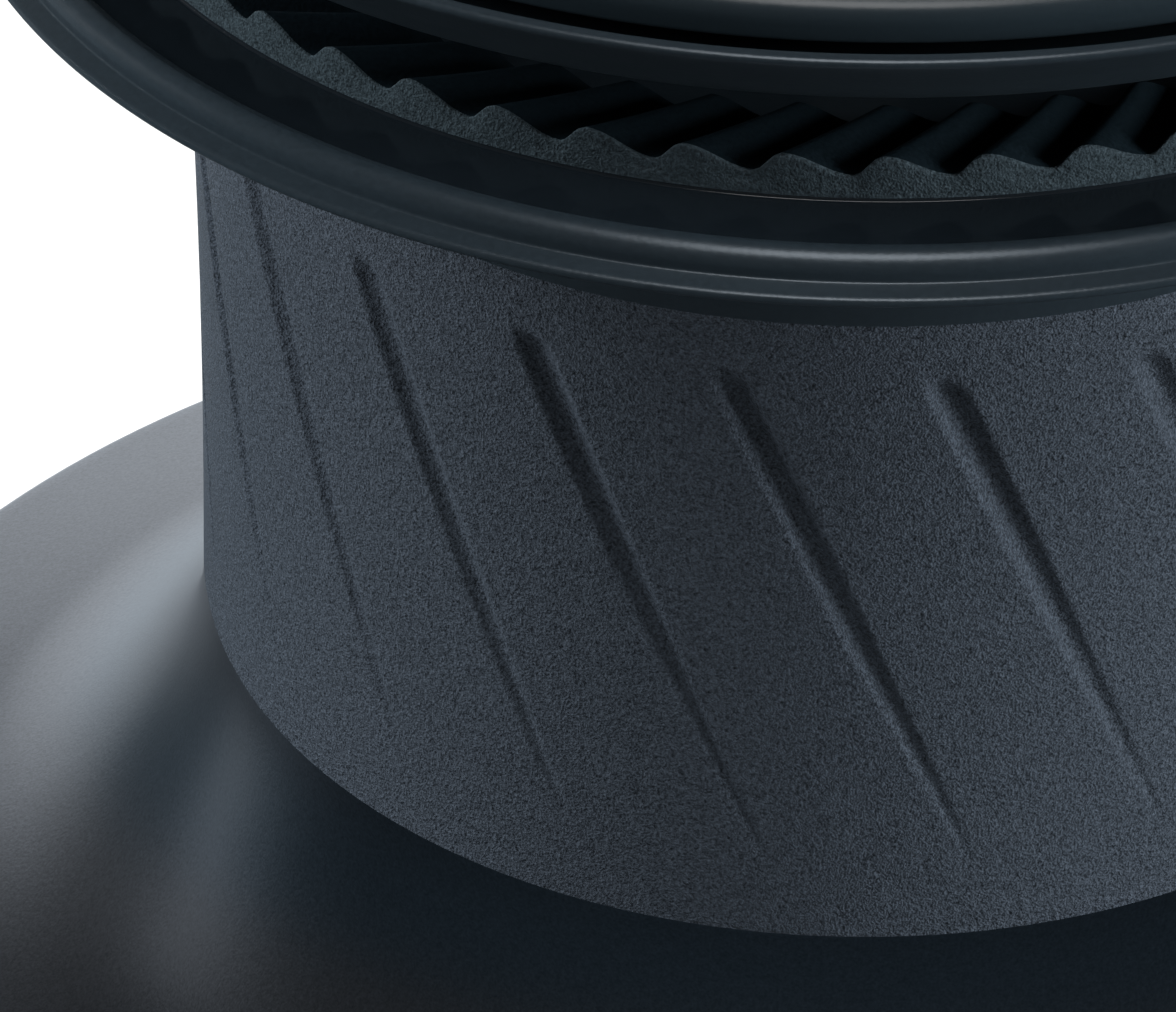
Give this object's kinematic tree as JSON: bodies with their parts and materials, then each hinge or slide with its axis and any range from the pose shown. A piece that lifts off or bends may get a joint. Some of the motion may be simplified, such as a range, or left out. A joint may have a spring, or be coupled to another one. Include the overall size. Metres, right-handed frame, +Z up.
{
  "type": "self-tailing winch",
  "caption": "Two-speed self-tailing sheet winch with a waisted textured drum, toothed rope jaws, stripper arm and star handle socket on a round base.",
  "frame": {"origin": "centre of the base's bottom face, on the winch axis", "axes": "+Z up along the winch axis; the picture looks along +Y from -Y, with +X to its right"},
  "size_m": [0.157, 0.157, 0.164],
  "materials": {
    "drum_metal": "charcoal anodised, blasted barrel",
    "jaw_moulding": "satin black",
    "top_moulding": "satin black",
    "skirt_moulding": "satin black",
    "base_casting": "cast and machined",
    "gear_bronze": "cut bronze",
    "shaft_steel": "turned",
    "socket_steel": "polished",
    "bush_bronze": "turned bronze",
    "washer_plastic": "natural acetal",
    "fastener_steel": "stainless",
    "spring_steel": "drawn wire",
    "guide_steel": "polished",
    "seal_rubber": "matte"
  },
  "bodies": {
    "base": {"arm_screws": "fastener_steel", "base_flange": "base_casting", "bearing_spacer": "washer_plastic", "drum_thrust_washer": "washer_plastic", "foot_bush": "bush_bronze", "foot_skirt": "skirt_moulding", "idler_a_spindle": "shaft_steel", "idler_b_spindle": "shaft_steel", "line_guide": "guide_steel", "line_guide_screws": "fastener_steel", "line_peeler": "guide_steel", "line_peeler_screws": "fastener_steel", "lower_shaft_bush": "bush_bronze", "second_gear_spindle": "shaft_steel", "skirt_screws": "fastener_steel", "socket_seal": "seal_rubber", "spindle_washers": "washer_plastic", "stem": "base_casting", "stem_screws": "fastener_steel", "stripper_arm": "top_moulding", "top_cap": "top_moulding", "upper_shaft_bush": "bush_bronze"},
    "drum": {"drum": "drum_metal", "drum_gear_ring": "gear_bronze", "lower_jaw": "jaw_moulding", "lower_jaw_screws": "fastener_steel", "jaw_keys": "fastener_steel", "jaw_retaining_ring": "fastener_steel", "retaining_ring_screws": "fastener_steel", "jaw_springs": "spring_steel"},
    "upper_jaw": {"upper_jaw": "jaw_moulding"},
    "main_shaft": {"main_shaft": "shaft_steel", "handle_socket": "socket_steel", "socket_screw": "fastener_steel", "first_gear_washer": "fastener_steel", "first_pawl_springs": "spring_steel"},
    "first_pawl_a": {"first_pawl_a": "fastener_steel"},
    "first_pawl_b": {"first_pawl_b": "fastener_steel"},
    "first_speed_gear": {"first_speed_gear": "gear_bronze"},
    "idler_a": {"idler_a": "gear_bronze"},
    "idler_b": {"idler_b": "gear_bronze"},
    "second_speed_gear": {"second_speed_gear": "gear_bronze"},
    "second_speed_pinion": {"second_speed_pinion": "gear_bronze", "second_pawl_springs": "spring_steel"},
    "second_pawl_a": {"second_pawl_a": "fastener_steel"},
    "second_pawl_b": {"second_pawl_b": "fastener_steel"},
    "lower_bearing": {"lower_bearing_cage": "washer_plastic", "lower_bearing_rollers": "fastener_steel"},
    "upper_bearing": {"upper_bearing_cage": "washer_plastic", "upper_bearing_rollers": "fastener_steel"}
  },
  "joints": [
    {"name": "drum_spin", "type": "hinge", "parent": "base", "child": "drum", "pos_m": [0, 0, 0.09], "axis": [0, 0, 1], "continuous": true},
    {"name": "upper_jaw_float", "type": "slide", "parent": "drum", "child": "upper_jaw", "axis": [0, 0, 1], "range_m": [0, 0.0015], "stiffness_N_per_m": 6000, "springref_m": -0.001, "deforming": ["jaw_springs"]},
    {"name": "main_shaft_spin", "type": "hinge", "parent": "base", "child": "main_shaft", "pos_m": [0, 0, 0.09], "axis": [0, 0, 1], "continuous": true},
    {"name": "first_pawl_a_swing", "type": "hinge", "parent": "main_shaft", "child": "first_pawl_a", "pos_m": [0.0116, 0, 0.0255], "axis": [0, 0, 1], "range_deg": [-24.4, 0], "stiffness_Nm_per_rad": 0.02, "springref_deg": 20.05},
    {"name": "first_pawl_b_swing", "type": "hinge", "parent": "main_shaft", "child": "first_pawl_b", "pos_m": [-0.0116, 0, 0.0255], "axis": [0, 0, 1], "range_deg": [-24.4, 0], "stiffness_Nm_per_rad": 0.02, "springref_deg": 20.05},
    {"name": "first_speed_gear_spin", "type": "hinge", "parent": "base", "child": "first_speed_gear", "pos_m": [0, 0, 0.0245], "axis": [0, 0, 1], "continuous": true},
    {"name": "idler_a_spin", "type": "hinge", "parent": "base", "child": "idler_a", "pos_m": [-0.00438, 0.03976, 0.025], "axis": [0, 0, 1], "continuous": true},
    {"name": "idler_b_spin", "type": "hinge", "parent": "base", "child": "idler_b", "pos_m": [0.0215, 0.03724, 0.025], "axis": [0, 0, 1], "continuous": true},
    {"name": "second_speed_gear_spin", "type": "hinge", "parent": "base", "child": "second_speed_gear", "pos_m": [-0.013, -0.03571, 0.013], "axis": [0, 0, 1], "continuous": true},
    {"name": "second_speed_pinion_spin", "type": "hinge", "parent": "base", "child": "second_speed_pinion", "pos_m": [-0.013, -0.03571, 0.03], "axis": [0, 0, 1], "continuous": true},
    {"name": "second_pawl_a_swing", "type": "hinge", "parent": "second_speed_pinion", "child": "second_pawl_a", "pos_m": [-0.0038, -0.03571, 0.014], "axis": [0, 0, 1], "range_deg": [-5.8, 0], "stiffness_Nm_per_rad": 0.02, "springref_deg": -20.05},
    {"name": "second_pawl_b_swing", "type": "hinge", "parent": "second_speed_pinion", "child": "second_pawl_b", "pos_m": [-0.0222, -0.03571, 0.014], "axis": [0, 0, 1], "range_deg": [-5.8, 0], "stiffness_Nm_per_rad": 0.02, "springref_deg": -20.05},
    {"name": "lower_bearing_spin", "type": "hinge", "parent": "base", "child": "lower_bearing", "pos_m": [0, 0, 0.079], "axis": [0, 0, 1], "continuous": true},
    {"name": "upper_bearing_spin", "type": "hinge", "parent": "base", "child": "upper_bearing", "pos_m": [0, 0, 0.1115], "axis": [0, 0, 1], "continuous": true}
  ],
  "couplings": [
    {"joint": "main_shaft_spin", "follows": "drum_spin", "ratio": 2.1154},
    {"joint": "first_speed_gear_spin", "follows": "drum_spin", "ratio": 2.1154},
    {"joint": "idler_a_spin", "follows": "drum_spin", "ratio": -3.9286},
    {"joint": "idler_b_spin", "follows": "drum_spin", "ratio": 4.5833},
    {"joint": "second_speed_gear_spin", "follows": "drum_spin", "ratio": -1.1},
    {"joint": "second_speed_pinion_spin", "follows": "drum_spin", "ratio": 3.2353},
    {"joint": "lower_bearing_spin", "follows": "drum_spin", "ratio": 0.55},
    {"joint": "upper_bearing_spin", "follows": "drum_spin", "ratio": 0.55}
  ]
}
